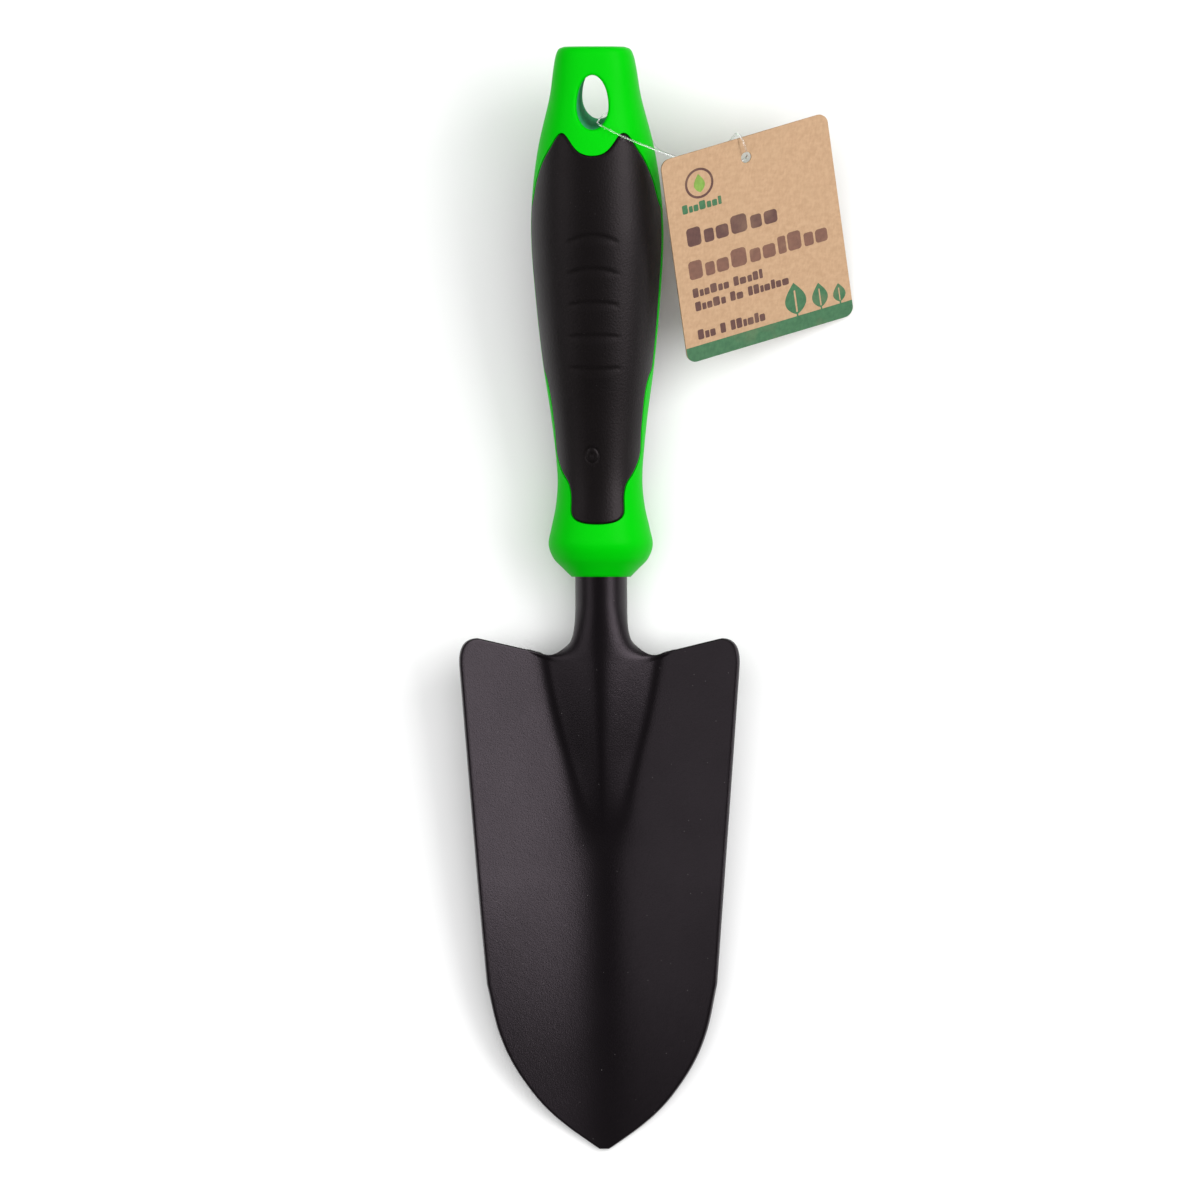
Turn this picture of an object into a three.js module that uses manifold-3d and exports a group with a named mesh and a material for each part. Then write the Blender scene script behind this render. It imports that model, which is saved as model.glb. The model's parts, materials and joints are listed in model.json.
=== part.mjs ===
// A hand trowel with a card hang tag, lying on its back as it would on a bench.
// Millimetres, +Z up. +Y points from the blade's tip to the butt of the handle, X is across the blade.
// The trowel touches the floor, z = 0, at the bell of the handle and near the nose of the blade.
import * as THREE from 'three';
import { mergeVertices } from 'three/addons/utils/BufferGeometryUtils.js';
import Module from 'manifold-3d';

// ---- driving dimensions -------------------------------------------------------------------------
const LENGTH = 305;             // tip to butt
const GAP = 0.3;                // clearance kept between pieces that touch

const SHEET = 1.8;              // thickness of the pressed steel
const BLADE_HALF_WIDTH = 38.4;  // at the shoulders
const NOSE_LENGTH = 45.7;
const NOSE_HALF_WIDTH = 31.6;
const SHOULDER_AT = 141.6;      // top of the shoulders, from the tip
const NOTCH_AT = 136.7;         // bottom of the notch beside the neck, from the tip
const NOTCH_HALF_WIDTH = 14;
const TROUGH_SLOPE = 0.42;      // the blade is a shallow V, rounded along the middle
const TROUGH_ROUND = 7;
const NOSE_SLOPE = 0.22;        // the same slope at the tip, where the V is shallower
const FULL_SLOPE_AT = 75;       // and it has its full slope this far from the tip
const SIDE_TOP = new THREE.Vector2(36.6, 110); // where the sides begin to flare towards the shoulders
const RIDGE_START = 86;         // the neck runs down the blade as a ridge that dies out here
const RIDGE_FLANK = 0.47;       // slope of the ridge's two sides
const VALLEY_ROUND = 0.7;       // how softly the ridge meets the trough
const TROUGH_RISE = 0.055;      // slope of the trough's middle behind the nose

const TUBE_R = 7.2;             // neck and tang, rolled from the same sheet
const TUBE_ROLLED_AT = 151;     // the sheet is a closed tube from here on
const HANDLE_AT = 158.6;        // where the neck enters the handle, from the tip
const TANG_INSIDE = 62;         // length of tang inside the handle
const RISE = Math.tan(THREE.MathUtils.degToRad(8)); // slope of neck and handle above the floor
const NECK_Z = 12.9;            // height of the tube's axis where it enters the handle

const RUBBER = 2;               // thickness of the soft grip panels
const STRIP_HALF = 2;           // half of the hard strip left between the two panels
const PANEL_TAIL = 14.4;        // panel ends, measured from the bell end of the handle
const PANEL_PEAK = 122.8;
const PANEL_BAY = 116.2;
const GROOVES = 5;
const GROOVE_FIRST = 92.6;
const GROOVE_PITCH = 8.9;
const GROOVE_HALF = [7.15, 1.65];
const GROOVE_DEPTH = 0.9;

const HANG_HOLE_AT = 129.6;     // widest point of the egg-shaped hanging hole
const HANG_HOLE_HALF_WIDTH = 4.4;
const HANG_HOLE_ENDS = [6.2, 8.7]; // from its widest point towards the blade and towards the butt

const TAG_SIZE = [52, 60];
const TAG_CARD = 0.6;
const TAG_CORNER = 2.6;
const TAG_HOLE_R = 1.6;
const TAG_HOLE_BELOW_EDGE = 6;
const TAG_HOLE = new THREE.Vector3(41.6, 122.0, 31.6);      // where the tag's hole hangs
const TAG_ACROSS = new THREE.Vector3(0.850, 0.267, -0.448); // direction of the tag's top edge
const TAG_UP = new THREE.Vector3(-0.098, 0.929, 0.357);     // from its bottom edge to its top edge

const FILAMENT_R = 0.25;
// The clear loop, from the lock, up through the hanging hole, over the shoulder of the handle,
// round the tag's top edge through the tag's hole, and back under the handle to the lock.
const LOOP_ROUTE = [
  [4.7, 134.6, 17.6], [2.7, 134.5, 18.0], [1.4, 134.2, 19.8], [1.0, 133.4, 24.0], [1.0, 132.4, 32.0],
  [1.1, 131.4, 40.0], [1.9, 130.9, 44.9], [3.6, 130.0, 46.3], [6.2, 128.7, 46.0], [10.5, 126.7, 44.4],
  [15.0, 124.9, 42.6], [19.5, 123.2, 41.0], [24.0, 121.8, 39.2], [29.0, 120.9, 36.3],
  [34.0, 120.6, 32.9], [38.0, 120.8, 30.2], [40.3, 121.2, 29.4], [41.3, 121.7, 30.2],
  [41.6, 122.0, 31.6], [42.0, 122.7, 33.6], [41.7, 124.6, 35.2], [40.9, 126.9, 35.6],
  [39.8, 128.3, 34.4], [38.7, 128.4, 32.0], [37.4, 127.0, 29.8], [35.2, 125.0, 28.4],
  [31.0, 123.2, 28.2], [26.0, 122.2, 27.6], [21.0, 122.4, 25.3], [17.0, 124.0, 21.8],
  [14.5, 127.0, 18.4], [12.7, 130.6, 17.1], [11.5, 133.3, 17.2], [10.3, 134.6, 17.6],
];
const LOCK_AT = new THREE.Vector3(7.5, 134.6, 17.6);

// ---- solids -------------------------------------------------------------------------------------
const wasm = await Module();
wasm.setup();

// Skins a row of closed rings, each with the same even number of points, and closes both ends with
// a ladder of quads between the two halves of the end ring.
function loft(rings) {
  const count = rings[0].length;
  const index = [];
  const quad = (a, b, c, d) => index.push(a, b, c, a, c, d);
  for (let j = 0; j < rings.length - 1; j++) {
    for (let i = 0; i < count; i++) {
      const next = (i + 1) % count;
      quad(j * count + i, j * count + next, (j + 1) * count + next, (j + 1) * count + i);
    }
  }
  const last = (rings.length - 1) * count;
  for (let i = 0; i < count / 2 - 1; i++) {
    quad(i, count - 1 - i, count - 2 - i, i + 1);
    quad(last + i, last + i + 1, last + count - 2 - i, last + count - 1 - i);
  }
  const geometry = new THREE.BufferGeometry();
  geometry.setFromPoints(rings.flat());
  geometry.setIndex(index);
  return geometry;
}

function toSolid(geometry) {
  geometry.deleteAttribute('normal');
  geometry.deleteAttribute('uv');
  const merged = mergeVertices(geometry, 1e-4);
  return new wasm.Manifold(new wasm.Mesh({
    numProp: 3,
    vertProperties: new Float32Array(merged.attributes.position.array),
    triVerts: new Uint32Array(merged.index.array),
  }));
}

function toGeometry(solid) {
  const mesh = solid.getMesh();
  const geometry = new THREE.BufferGeometry();
  geometry.setAttribute('position', new THREE.BufferAttribute(mesh.vertProperties, 3));
  geometry.setIndex(new THREE.BufferAttribute(mesh.triVerts, 1));
  return geometry;
}

function piece(name, geometry, color, roughness, metalness = 0) {
  geometry.computeVertexNormals();
  const mesh = new THREE.Mesh(geometry, new THREE.MeshStandardMaterial({ color, roughness, metalness }));
  mesh.name = name;
  return mesh;
}

// ---- blade: one sheet, dished at the front, rolled into neck and tang at the back ----------------
const fromTip = (distance) => distance - LENGTH / 2;
const axisHeight = (distance) => NECK_Z + RISE * (distance - HANDLE_AT);

// Height of the sheet's upper face along the middle of the trough: it touches down near the nose.
function spineHeight(distance) {
  const touch = 22;
  const straightFrom = 70;
  const bend = TROUGH_RISE / (2 * (straightFrom - touch));
  const curved = Math.min(distance, straightFrom) - touch;
  return SHEET + bend * curved ** 2 + TROUGH_RISE * Math.max(0, distance - straightFrom);
}

// Height of the ridge's crest above the middle of the trough: it runs smoothly into the neck.
function crestHeight(distance) {
  const span = NOTCH_AT - RIDGE_START;
  const t = (distance - RIDGE_START) / span;
  const startRise = 14;
  const endRise = (RISE - TROUGH_RISE) * span;
  const top = axisHeight(NOTCH_AT) + TUBE_R - spineHeight(NOTCH_AT);
  if (t < 0) return startRise * t;
  return (t ** 3 - 2 * t ** 2 + t) * startRise + (3 * t ** 2 - 2 * t ** 3) * top
    + (t ** 3 - t ** 2) * endRise;
}

// Height of the upper face anywhere on the blade: the trough, with the ridge rising out of it.
function bladeHeight(x, distance) {
  const spine = spineHeight(distance);
  const opening = THREE.MathUtils.smoothstep(distance, 0, FULL_SLOPE_AT);
  const slope = THREE.MathUtils.lerp(NOSE_SLOPE, TROUGH_SLOPE, opening);
  const trough = spine + slope * (Math.hypot(x, TROUGH_ROUND) - TROUGH_ROUND);
  const t = THREE.MathUtils.clamp((distance - RIDGE_START) / (NOTCH_AT - RIDGE_START), 0, 1);
  const flank = RIDGE_FLANK * (1 - (1 - Math.min(1, 2 * t)) ** 2);
  const crestRound = THREE.MathUtils.lerp(1.2, 3.4, t * t);
  const ridge = spine + crestHeight(distance) - flank * (Math.hypot(x, crestRound) - crestRound);
  return trough + VALLEY_ROUND * Math.log1p(Math.exp((ridge - trough) / VALLEY_ROUND));
}

// Right half of the blade's outline as x and distance from the tip: nose and straight side first.
function sideOutline() {
  const nose = new THREE.SplineCurve([[1.4, 0], [5.2, 2.7], [9.5, 5.8], [14.7, 10.2], [18.8, 14.7],
    [24.8, 23.5], [28.6, 32.4], [NOSE_HALF_WIDTH, NOSE_LENGTH]].map(([x, y]) => new THREE.Vector2(x, y)));
  const side = new THREE.LineCurve(new THREE.Vector2(NOSE_HALF_WIDTH, NOSE_LENGTH), SIDE_TOP);
  return [...nose.getSpacedPoints(10), ...side.getPoints(10).slice(1)];
}

// Then the top of the side, the round shoulder, the top edge and the notch.
function shoulderOutline() {
  const path = new THREE.Path();
  path.moveTo(SIDE_TOP.x, SIDE_TOP.y);
  path.lineTo(BLADE_HALF_WIDTH, SHOULDER_AT - 8);
  path.quadraticCurveTo(BLADE_HALF_WIDTH + 0.6, SHOULDER_AT, 33.5, SHOULDER_AT);
  path.lineTo(17.5, NOTCH_AT + 1);
  path.quadraticCurveTo(15.3, NOTCH_AT + 0.2, NOTCH_HALF_WIDTH, NOTCH_AT);
  return path.getSpacedPoints(17).slice(1);
}

// Rows of points across the sheet's upper face, from the tip to the end of the tang.
function sheetRows() {
  const columns = 11;
  const across = [];
  for (let i = -columns; i <= columns; i++) across.push(Math.sign(i) * Math.abs(i / columns) ** 1.2);
  const onBlade = (edge, middle) => across.map((u) => {
    const distance = middle + (edge.y - middle) * Math.abs(u) ** 2.5;
    return new THREE.Vector3(edge.x * u, fromTip(distance), bladeHeight(edge.x * u, distance));
  });
  const rows = sideOutline().map((edge) => onBlade(edge, edge.y));
  const shoulder = shoulderOutline();
  shoulder.forEach((edge, i) => {
    rows.push(onBlade(edge, THREE.MathUtils.lerp(SIDE_TOP.y, NOTCH_AT, (i + 1) / shoulder.length)));
  });
  const notchRow = rows[rows.length - 1];
  const rolledRow = (distance) => {
    const rolled = Math.min(1, (distance - NOTCH_AT) / (TUBE_ROLLED_AT - NOTCH_AT));
    const turn = THREE.MathUtils.degToRad(175);
    return across.map((u, i) => new THREE.Vector3(
      THREE.MathUtils.lerp(notchRow[i].x, TUBE_R * Math.sin(turn * u), rolled ** 0.72),
      fromTip(distance),
      axisHeight(distance) + THREE.MathUtils.lerp(
        notchRow[i].z - axisHeight(NOTCH_AT), TUBE_R * Math.cos(turn * u), rolled ** 1.7),
    ));
  };
  for (let i = 1; i <= 8; i++) {
    rows.push(rolledRow(THREE.MathUtils.lerp(NOTCH_AT, TUBE_ROLLED_AT, (i / 8) ** 1.4)));
  }
  rows.push(rolledRow(HANDLE_AT), rolledRow(HANDLE_AT + TANG_INSIDE));
  return rows;
}

function blade() {
  const rows = sheetRows();
  const at = (j, i) => rows[Math.min(Math.max(j, 0), rows.length - 1)][
    Math.min(Math.max(i, 0), rows[0].length - 1)];
  const rings = rows.map((row, j) => {
    const under = row.map((point, i) => {
      const along = at(j + 1, i).clone().sub(at(j - 1, i));
      const across = at(j, i + 1).clone().sub(at(j, i - 1));
      const normal = across.cross(along).normalize();
      return point.clone().addScaledVector(normal, -SHEET);
    });
    return [...row, ...under.reverse()];
  });
  return piece('blade', loft(rings), 0x2b282b, 0.5, 0.6);
}

// ---- handle -------------------------------------------------------------------------------------
// Distance along the handle from the bell end, half width and half depth there.
const HANDLE_STATIONS = [
  [0, 8.2, 8.2], [2.4, 10.6, 10.3], [5.2, 13.2, 12.7], [8.9, 14.5, 14.18], [13.5, 13.7, 13.3],
  [19.5, 12.4, 12.1], [27, 11.8, 11.6], [42, 13.1, 12.7], [60, 15.6, 14.9], [78, 17.4, 16.4],
  [95, 18.4, 17.1], [108, 17.7, 16.4], [119.6, 15.9, 14.5], [133, 12.6, 11.5], [141, 11.4, 10.2],
  [144.2, 10.7, 9.5], [145.8, 9.9, 8.7], [146.4, 8.4, 7.2],
];
const handleCurve = new THREE.CatmullRomCurve3(HANDLE_STATIONS.map((s) => new THREE.Vector3(...s)), false,
  'centripetal');
const handleY = (along) => fromTip(HANDLE_AT + along);
const handleAxis = (along) => axisHeight(HANDLE_AT + along) + 0.0008 * Math.max(0, along - 90) ** 2;

function ellipseRing(along, halfWidth, halfDepth, points) {
  const squareness = 2.1 + 0.5 * THREE.MathUtils.smoothstep(along, 100, 146);
  const power = (value) => Math.sign(value) * Math.abs(value) ** (2 / squareness);
  return Array.from({ length: points }, (_, i) => {
    const angle = (2 * Math.PI * (i + 0.5)) / points;
    return new THREE.Vector3(halfWidth * power(Math.cos(angle)), handleY(along),
      handleAxis(along) + halfDepth * power(Math.sin(angle)));
  });
}

// The handle's outer form, shrunk by an inset; an inset form is cut short of the ends as well.
function handleForm(inset) {
  const sections = handleCurve.getPoints(34).filter((p) => p.x > inset * 3 - 0.1 && p.x < 146.5 - inset * 2);
  return toSolid(loft(sections.map((p) => ellipseRing(p.x, p.y - inset, p.z - inset, 32).reverse())));
}

// Outline of a soft panel: two peaks beside a round bay at the butt, and a narrow tail at the bell.
function panelOutline() {
  const right = [[7.6, 18.2], [7.6, 22.8], [8.2, 25.6], [10.2, 29.2], [11.6, 33.6], [12.3, 42], [14.6, 56],
    [20, 66], [20, 97], [17.7, 103.5], [16.2, 110], [14.2, 115.2], [11.4, 119.8]];
  const points = right.map(([x, along]) => new THREE.Vector2(x, handleY(along)));
  const mirrored = points.map((p) => new THREE.Vector2(-p.x, p.y)).reverse();
  const shape = new THREE.Shape();
  shape.moveTo(0, handleY(PANEL_TAIL));
  shape.bezierCurveTo(4.4, handleY(PANEL_TAIL), 7.6, handleY(15.4), points[0].x, points[0].y);
  shape.splineThru(points.slice(1));
  shape.quadraticCurveTo(9.4, handleY(PANEL_PEAK + 0.4), 7.3, handleY(121.6));
  shape.bezierCurveTo(5.4, handleY(119.6), 4.6, handleY(PANEL_BAY), 0, handleY(PANEL_BAY));
  shape.bezierCurveTo(-4.6, handleY(PANEL_BAY), -5.4, handleY(119.6), -7.3, handleY(121.6));
  shape.quadraticCurveTo(-9.4, handleY(PANEL_PEAK + 0.4), mirrored[0].x, mirrored[0].y);
  shape.splineThru(mirrored.slice(1));
  shape.bezierCurveTo(-7.6, handleY(15.4), -4.4, handleY(PANEL_TAIL), 0, handleY(PANEL_TAIL));
  return shape;
}

// Everything within the panel's outline on one side (+1 front, -1 rear) of the hard strip.
function panelBlock(side, grow) {
  const prism = new THREE.ExtrudeGeometry(panelOutline(), {
    depth: 90, curveSegments: 5, bevelEnabled: grow > 0, bevelSize: grow, bevelThickness: 1, bevelSegments: 1,
  });
  prism.translate(0, 0, -20);
  const near = STRIP_HALF - grow;
  const wide = 30;
  const halves = [0, 95, 110, 125, 140].map((along) => {
    const low = handleAxis(along) + (side > 0 ? near : -near - wide);
    const corners = [[-wide, low + wide], [wide, low + wide], [wide, low], [-wide, low]];
    return corners.map(([x, z]) => new THREE.Vector3(x, handleY(along), z));
  });
  return toSolid(prism).intersect(toSolid(loft(halves)));
}

// Lens-shaped recesses across the front panel; the one nearest the butt is arched.
function grooveBlocks() {
  const floor = handleForm(GROOVE_DEPTH);
  return Array.from({ length: GROOVES }, (_, i) => {
    const y = handleY(GROOVE_FIRST - i * GROOVE_PITCH);
    const [halfWidth, halfHeight] = GROOVE_HALF;
    const bow = 1.2 - 0.35 * i;
    const lens = new THREE.Shape();
    lens.moveTo(-halfWidth, y - bow / 2);
    lens.quadraticCurveTo(0, y + bow * 1.5 + halfHeight * 2, halfWidth, y - bow / 2);
    lens.quadraticCurveTo(0, y + bow * 1.5 - halfHeight * 2, -halfWidth, y - bow / 2);
    const prism = new THREE.ExtrudeGeometry(lens, { depth: 40, curveSegments: 8, bevelEnabled: false });
    prism.translate(0, 0, handleAxis(GROOVE_FIRST));
    return toSolid(prism).subtract(floor);
  });
}

function gripPanel(name, side) {
  let solid = handleForm(0).intersect(panelBlock(side, 0)).subtract(handleForm(RUBBER));
  if (side > 0) grooveBlocks().forEach((groove) => { solid = solid.subtract(groove); });
  return piece(name, toGeometry(solid), 0x262324, 0.7);
}

function hangHole() {
  const [low, high] = HANG_HOLE_ENDS;
  const egg = new THREE.Shape();
  egg.ellipse(0, 0, HANG_HOLE_HALF_WIDTH, low, Math.PI, 2 * Math.PI);
  egg.ellipse(-HANG_HOLE_HALF_WIDTH, 0, HANG_HOLE_HALF_WIDTH, high, 0, Math.PI);
  const prism = new THREE.ExtrudeGeometry(egg, { depth: 60, curveSegments: 10, bevelEnabled: false });
  prism.translate(0, 0, -40);
  prism.rotateX(Math.atan(RISE));
  prism.translate(0, handleY(HANG_HOLE_AT), handleAxis(HANG_HOLE_AT) + 12);
  return toSolid(prism);
}

function tangBore() {
  const circle = (along) => Array.from({ length: 28 }, (_, i) => {
    const angle = -(2 * Math.PI * i) / 28;
    const r = TUBE_R + GAP;
    return new THREE.Vector3(r * Math.cos(angle), handleY(along),
      axisHeight(HANDLE_AT + along) + r * Math.sin(angle));
  });
  return toSolid(loft([circle(-2), circle(TANG_INSIDE + 1)]));
}

function handleCore() {
  const floor = handleForm(RUBBER + GAP);
  let solid = handleForm(0);
  for (const side of [1, -1]) solid = solid.subtract(panelBlock(side, GAP).subtract(floor));
  solid = solid.subtract(hangHole()).subtract(tangBore());
  return piece('handle_core', toGeometry(solid), 0x08c818, 0.35);
}

// ---- hang tag and its loop ----------------------------------------------------------------------
function hangTag() {
  const [width, height] = TAG_SIZE;
  const left = -width / 2;
  const top = TAG_HOLE_BELOW_EDGE;
  const r = TAG_CORNER;
  const card = new THREE.Shape();
  card.moveTo(left + r, top);
  card.absarc(left + r, top - r, r, Math.PI / 2, Math.PI, false);
  card.absarc(left + r, top - height + r, r, Math.PI, Math.PI * 1.5, false);
  card.absarc(left + width - r, top - height + r, r, -Math.PI / 2, 0, false);
  card.absarc(left + width - r, top - r, r, 0, Math.PI / 2, false);
  card.holes.push(new THREE.Path().absarc(0, 0, TAG_HOLE_R, 0, 2 * Math.PI, true));
  const plate = { depth: TAG_CARD, curveSegments: 5, bevelEnabled: false };
  const geometry = new THREE.ExtrudeGeometry(card, plate);
  geometry.translate(0, 0, -TAG_CARD / 2);
  const tag = piece('hang_tag', geometry, 0xdcb184, 0.85);
  const right = TAG_ACROSS.clone().normalize();
  const normal = right.clone().cross(TAG_UP).normalize();
  const up = normal.clone().cross(right);
  tag.quaternion.setFromRotationMatrix(new THREE.Matrix4().makeBasis(right, up, normal));
  tag.position.copy(TAG_HOLE);
  return tag;
}

function tagLoop() {
  const route = new THREE.CatmullRomCurve3(LOOP_ROUTE.map((p) => new THREE.Vector3(...p)));
  const section = new THREE.Shape().absarc(0, 0, FILAMENT_R, 0, 2 * Math.PI);
  const geometry = new THREE.ExtrudeGeometry(section, { steps: 70, curveSegments: 4, extrudePath: route });
  return piece('tag_loop', geometry, 0xe8eef0, 0.2);
}

function loopLock() {
  const profile = [[0, -2.6], [1.1, -2.6], [1.5, -2.1], [1.5, 1.2], [0.9, 2.4], [0, 2.4]];
  const geometry = new THREE.LatheGeometry(profile.map(([r, y]) => new THREE.Vector2(r, y)), 12);
  geometry.rotateZ(-Math.PI / 2);
  const lock = piece('loop_lock', geometry, 0xe8eef0, 0.3);
  lock.position.copy(LOCK_AT);
  return lock;
}

// ---- assembly -----------------------------------------------------------------------------------
const trowel = new THREE.Group();
trowel.add(blade(), handleCore(), gripPanel('grip_front', 1), gripPanel('grip_rear', -1));
trowel.add(tagLoop(), loopLock(), hangTag());

export default trowel;
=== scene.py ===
# Looks of a hand trowel with a card hang tag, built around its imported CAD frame.
# Shapes are worked out in millimetres and handed to Blender in metres; the loop's route, the camera
# and the lights are in metres from the start. On the blade a distance runs from the tip, and on the
# handle a place s runs from its bell end.
import json
import math

import bmesh
import bpy
import numpy as np
from mathutils import Matrix, Vector
from mathutils.geometry import delaunay_2d_cdt


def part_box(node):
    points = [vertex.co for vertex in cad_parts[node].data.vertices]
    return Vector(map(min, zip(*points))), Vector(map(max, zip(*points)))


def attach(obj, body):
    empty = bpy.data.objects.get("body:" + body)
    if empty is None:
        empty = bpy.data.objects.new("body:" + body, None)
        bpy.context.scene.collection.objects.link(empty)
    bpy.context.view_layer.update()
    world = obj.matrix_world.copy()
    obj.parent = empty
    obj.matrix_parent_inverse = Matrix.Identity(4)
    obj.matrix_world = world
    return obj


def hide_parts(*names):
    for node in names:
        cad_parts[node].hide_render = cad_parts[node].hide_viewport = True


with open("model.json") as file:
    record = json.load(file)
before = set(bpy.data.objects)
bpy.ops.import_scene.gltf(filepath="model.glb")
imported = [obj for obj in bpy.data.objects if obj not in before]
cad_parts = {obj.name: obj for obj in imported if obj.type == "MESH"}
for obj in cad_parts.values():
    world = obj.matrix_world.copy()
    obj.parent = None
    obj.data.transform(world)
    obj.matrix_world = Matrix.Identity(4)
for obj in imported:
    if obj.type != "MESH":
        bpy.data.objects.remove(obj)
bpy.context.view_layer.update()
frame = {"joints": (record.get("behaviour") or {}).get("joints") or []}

MM = 0.001
blade_low, blade_high = (np.array(c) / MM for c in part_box("blade"))
core_low, core_high = (np.array(c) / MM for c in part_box("handle_core"))
tag_joint = next(j for j in frame["joints"] if j["name"] == "tag_swing")

TIP_Y = -core_high[1]         # the origin is half way along the trowel
HANDLE_Y = core_low[1]        # bell end of the handle
HANDLE_LENGTH = core_high[1] - core_low[1]
HANDLE_AT = HANDLE_Y - TIP_Y  # bell end, from the tip

# blade and neck
SHEET = 1.8
EDGE_ROUND = 0.45
BLADE_HALF_WIDTH = 38.4
NOSE_LENGTH = 45.7
NOSE_HALF_WIDTH = 31.6
SIDE_TOP = (36.6, 110.0)
SHOULDER_AT = 141.6
SHOULDER_CORNER = 8
SHOULDER_HALF_WIDTH = 33.5
NOTCH_AT = 136.7
NOTCH_HALF_WIDTH = 14.0
NOTCH_CORNER = (18.2, NOTCH_AT + 1.25)
TROUGH_SLOPE = 0.42
TROUGH_ROUND = 7.0
TROUGH_RISE = 0.055
NOSE_SLOPE = 0.22
FULL_SLOPE_AT = 75.0
SPINE_TOUCHES_AT = 22.0       # where the middle of the trough lies on the floor
SPINE_STRAIGHT_FROM = 70.0
RIDGE_START = 86.0
RIDGE_FLANK = 0.47
CREST_START_RISE = 14.0
CREST_ROUND = 1.2
CREST_ROUND_GAIN = 2.2
VALLEY_ROUND = 0.7
TUBE_R = 7.2
TUBE_TURN = math.radians(175)   # either way round; the seam underneath stays open
TUBE_ROLLED_AT = 151.0
STRAIGHT_STEPS = (1.5, 4.6)   # rows on the straight tube, in lengths of the rolled stretch
RISE = math.tan(math.radians(8))
NECK_Z = 12.9
SHEET_COLUMNS = 60
SMOOTH_REACH = 9              # rows either side of the notch over which the sheet is smoothed
SMOOTH_PASSES = 16

# handle and soft panels
BEND_FROM = 90
HANDLE_BEND = 0.0008
STRIP_HALF = 2.0
STRIP_CLEAR_FROM = 6
RECESS_DEPTH = 1.65           # both under the handle's surface
PANEL_UNDERSIDE = 1.45
PANEL_GAP = 0.14
PANEL_EDGE_DROP = 0.42
PANEL_EDGE_WIDTH = 0.7
PANEL_TAIL = 14.4
PANEL_PEAK = 122.8
PANEL_BAY = 116.2
GROOVES = 5
GROOVE_FIRST = 92.6
GROOVE_PITCH = 8.9
GROOVE_HALF = (7.2, 1.8)
GROOVE_DEPTH = 0.42
GROOVE_BOW = 1.3
GROOVE_BOW_STEP = 0.62
MARK_AT = np.array([-1.4, 33.6])   # a plain ring moulded into the front panel
MARK_LOOPS = (0.35, 0.55, 1.85, 2.0, 2.2, 2.35)
MARK_R = 2.1
BORE_PROFILE = ((7.9, -0.02), (7.38, 0.25), (7.38, 6.0))   # radius and depth

HANG_HOLE_AT = 129.6
HANG_HOLE_AT_HEIGHT = 12      # over the handle's axis, where HANG_HOLE_AT holds
HANG_HOLE_HALF_WIDTH = 4.4
HANG_HOLE_ENDS = (6.2, 8.7)
HANG_HOLE_FILLET = 0.9

# hang tag and loop
TAG_SIZE = (51.95, 59.95)
TAG_CARD = 0.54
TAG_CORNER = 2.8
TAG_HOLE_R = 1.6
TAG_HOLE_BELOW_EDGE = 6.0
TAG_HOLE = np.array(tag_joint["pos_m"]) / MM
TAG_ACROSS = Vector((0.850, 0.267, -0.448)).normalized()
TAG_UP_ROUGH = Vector((-0.098, 0.929, 0.357))   # made square to TAG_ACROSS later
CORNER_POINTS = 11
SLIT_X = -1.9
SLIT_HALF = 0.06
SLIT_MEETS_HOLE = math.radians(148)
INK = 0.015
BAND_TOP = 0.926              # of the tag's height, from its top edge
BAND_LEAVES = ((0.672, 9.4, 6.6), (0.816, 7.3, 4.9), (0.931, 5.5, 3.9))   # across, height, width
DARK_LINES = ((0.371, 0.402, 29.0, 5.4, [6]), (0.294, 0.672, 22.0, 2.7, [6, 5]),
              (0.371, 0.739, 29.6, 2.7, [5, 2, 7]), (0.284, 0.876, 21.3, 2.9, [3, 1, 6]))
EMBLEM_AT = (0.207, 0.155)
KRAFT = (0.44, 0.29, 0.17, 1)

FILAMENT_R = 0.00025
LOOP_ROUTE = [
    (0.0047, 0.1346, 0.0176), (0.0027, 0.1345, 0.0180), (0.0014, 0.1342, 0.0198), (0.0010, 0.1334, 0.0240),
    (0.0010, 0.1324, 0.0320), (0.0011, 0.1314, 0.0400), (0.0019, 0.1309, 0.0449), (0.0036, 0.1300, 0.0463),
    (0.0062, 0.1287, 0.0460), (0.0105, 0.1267, 0.0444), (0.0150, 0.1249, 0.0426), (0.0195, 0.1232, 0.0410),
    (0.0240, 0.1218, 0.0392), (0.0290, 0.1209, 0.0363), (0.0340, 0.1206, 0.0329), (0.0380, 0.1208, 0.0302),
    (0.0403, 0.1212, 0.0294), (0.0413, 0.1217, 0.0302), (0.0416, 0.1220, 0.0316), (0.0420, 0.1227, 0.0336),
    (0.0417, 0.1246, 0.0352), (0.0409, 0.1269, 0.0356), (0.0398, 0.1283, 0.0344), (0.0387, 0.1284, 0.0320),
    (0.0374, 0.1270, 0.0298), (0.0352, 0.1250, 0.0284), (0.0310, 0.1232, 0.0282), (0.0260, 0.1222, 0.0276),
    (0.0210, 0.1224, 0.0253), (0.0170, 0.1240, 0.0218), (0.0145, 0.1270, 0.0184), (0.0127, 0.1306, 0.0171),
    (0.0115, 0.1333, 0.0172), (0.0103, 0.1346, 0.0176),
]


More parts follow.
